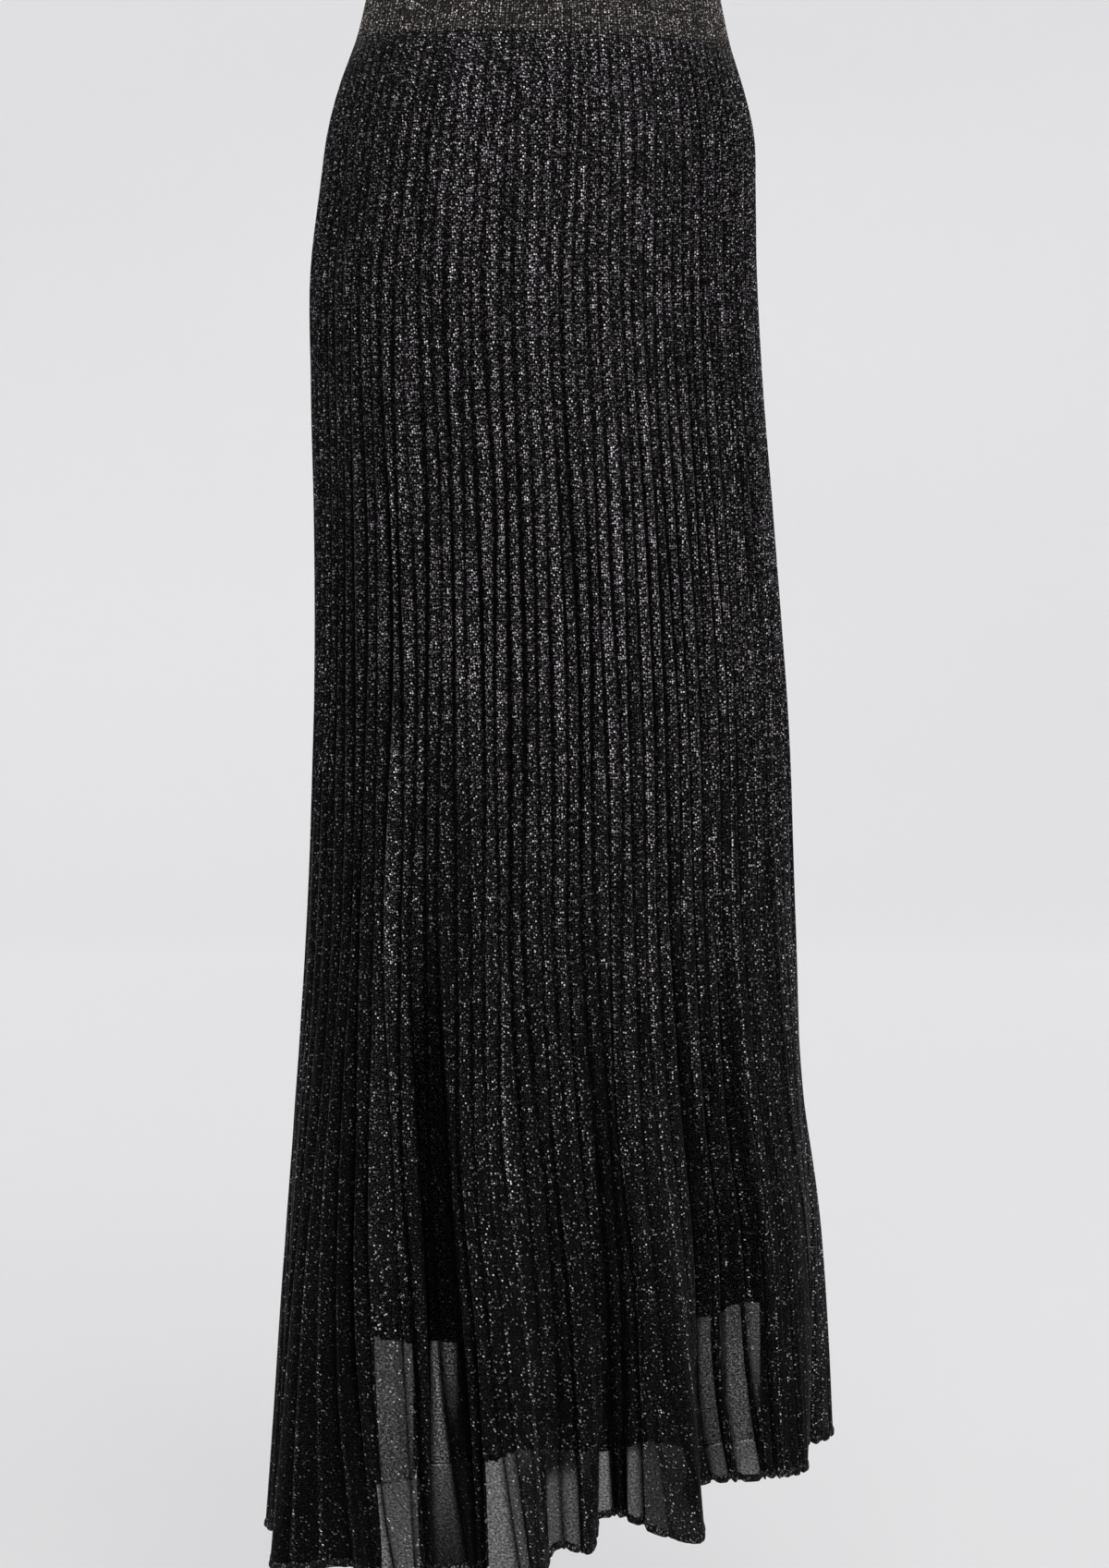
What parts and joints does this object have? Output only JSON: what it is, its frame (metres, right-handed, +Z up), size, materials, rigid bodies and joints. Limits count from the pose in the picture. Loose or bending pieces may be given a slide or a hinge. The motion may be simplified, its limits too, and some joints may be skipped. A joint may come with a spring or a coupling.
{
  "type": "pleated maxi skirt",
  "caption": "Long pleated metallic-knit skirt with a ribbed waistband and a shorter plain lining, shaped as worn and hanging in soft folds.",
  "frame": {"origin": "middle of the waist opening, level with the top edge of the waistband, where the wearer holds the skirt up", "axes": "+Z up along the wearer's body, -Y out of the front, +X towards the wearer's left"},
  "size_m": [0.4543, 0.2824, 1.0639],
  "materials": {
    "metallic_knit": "black sheer rib knit with a fine silver metallic yarn",
    "waistband_knit": "fine rib of the same black and silver yarn",
    "lining_jersey": "matt black jersey"
  },
  "bodies": {
    "root": {"waistband": "waistband_knit", "front_panel": "metallic_knit", "back_panel": "metallic_knit", "lining_front": "lining_jersey", "lining_back": "lining_jersey"}
  },
  "joints": []
}
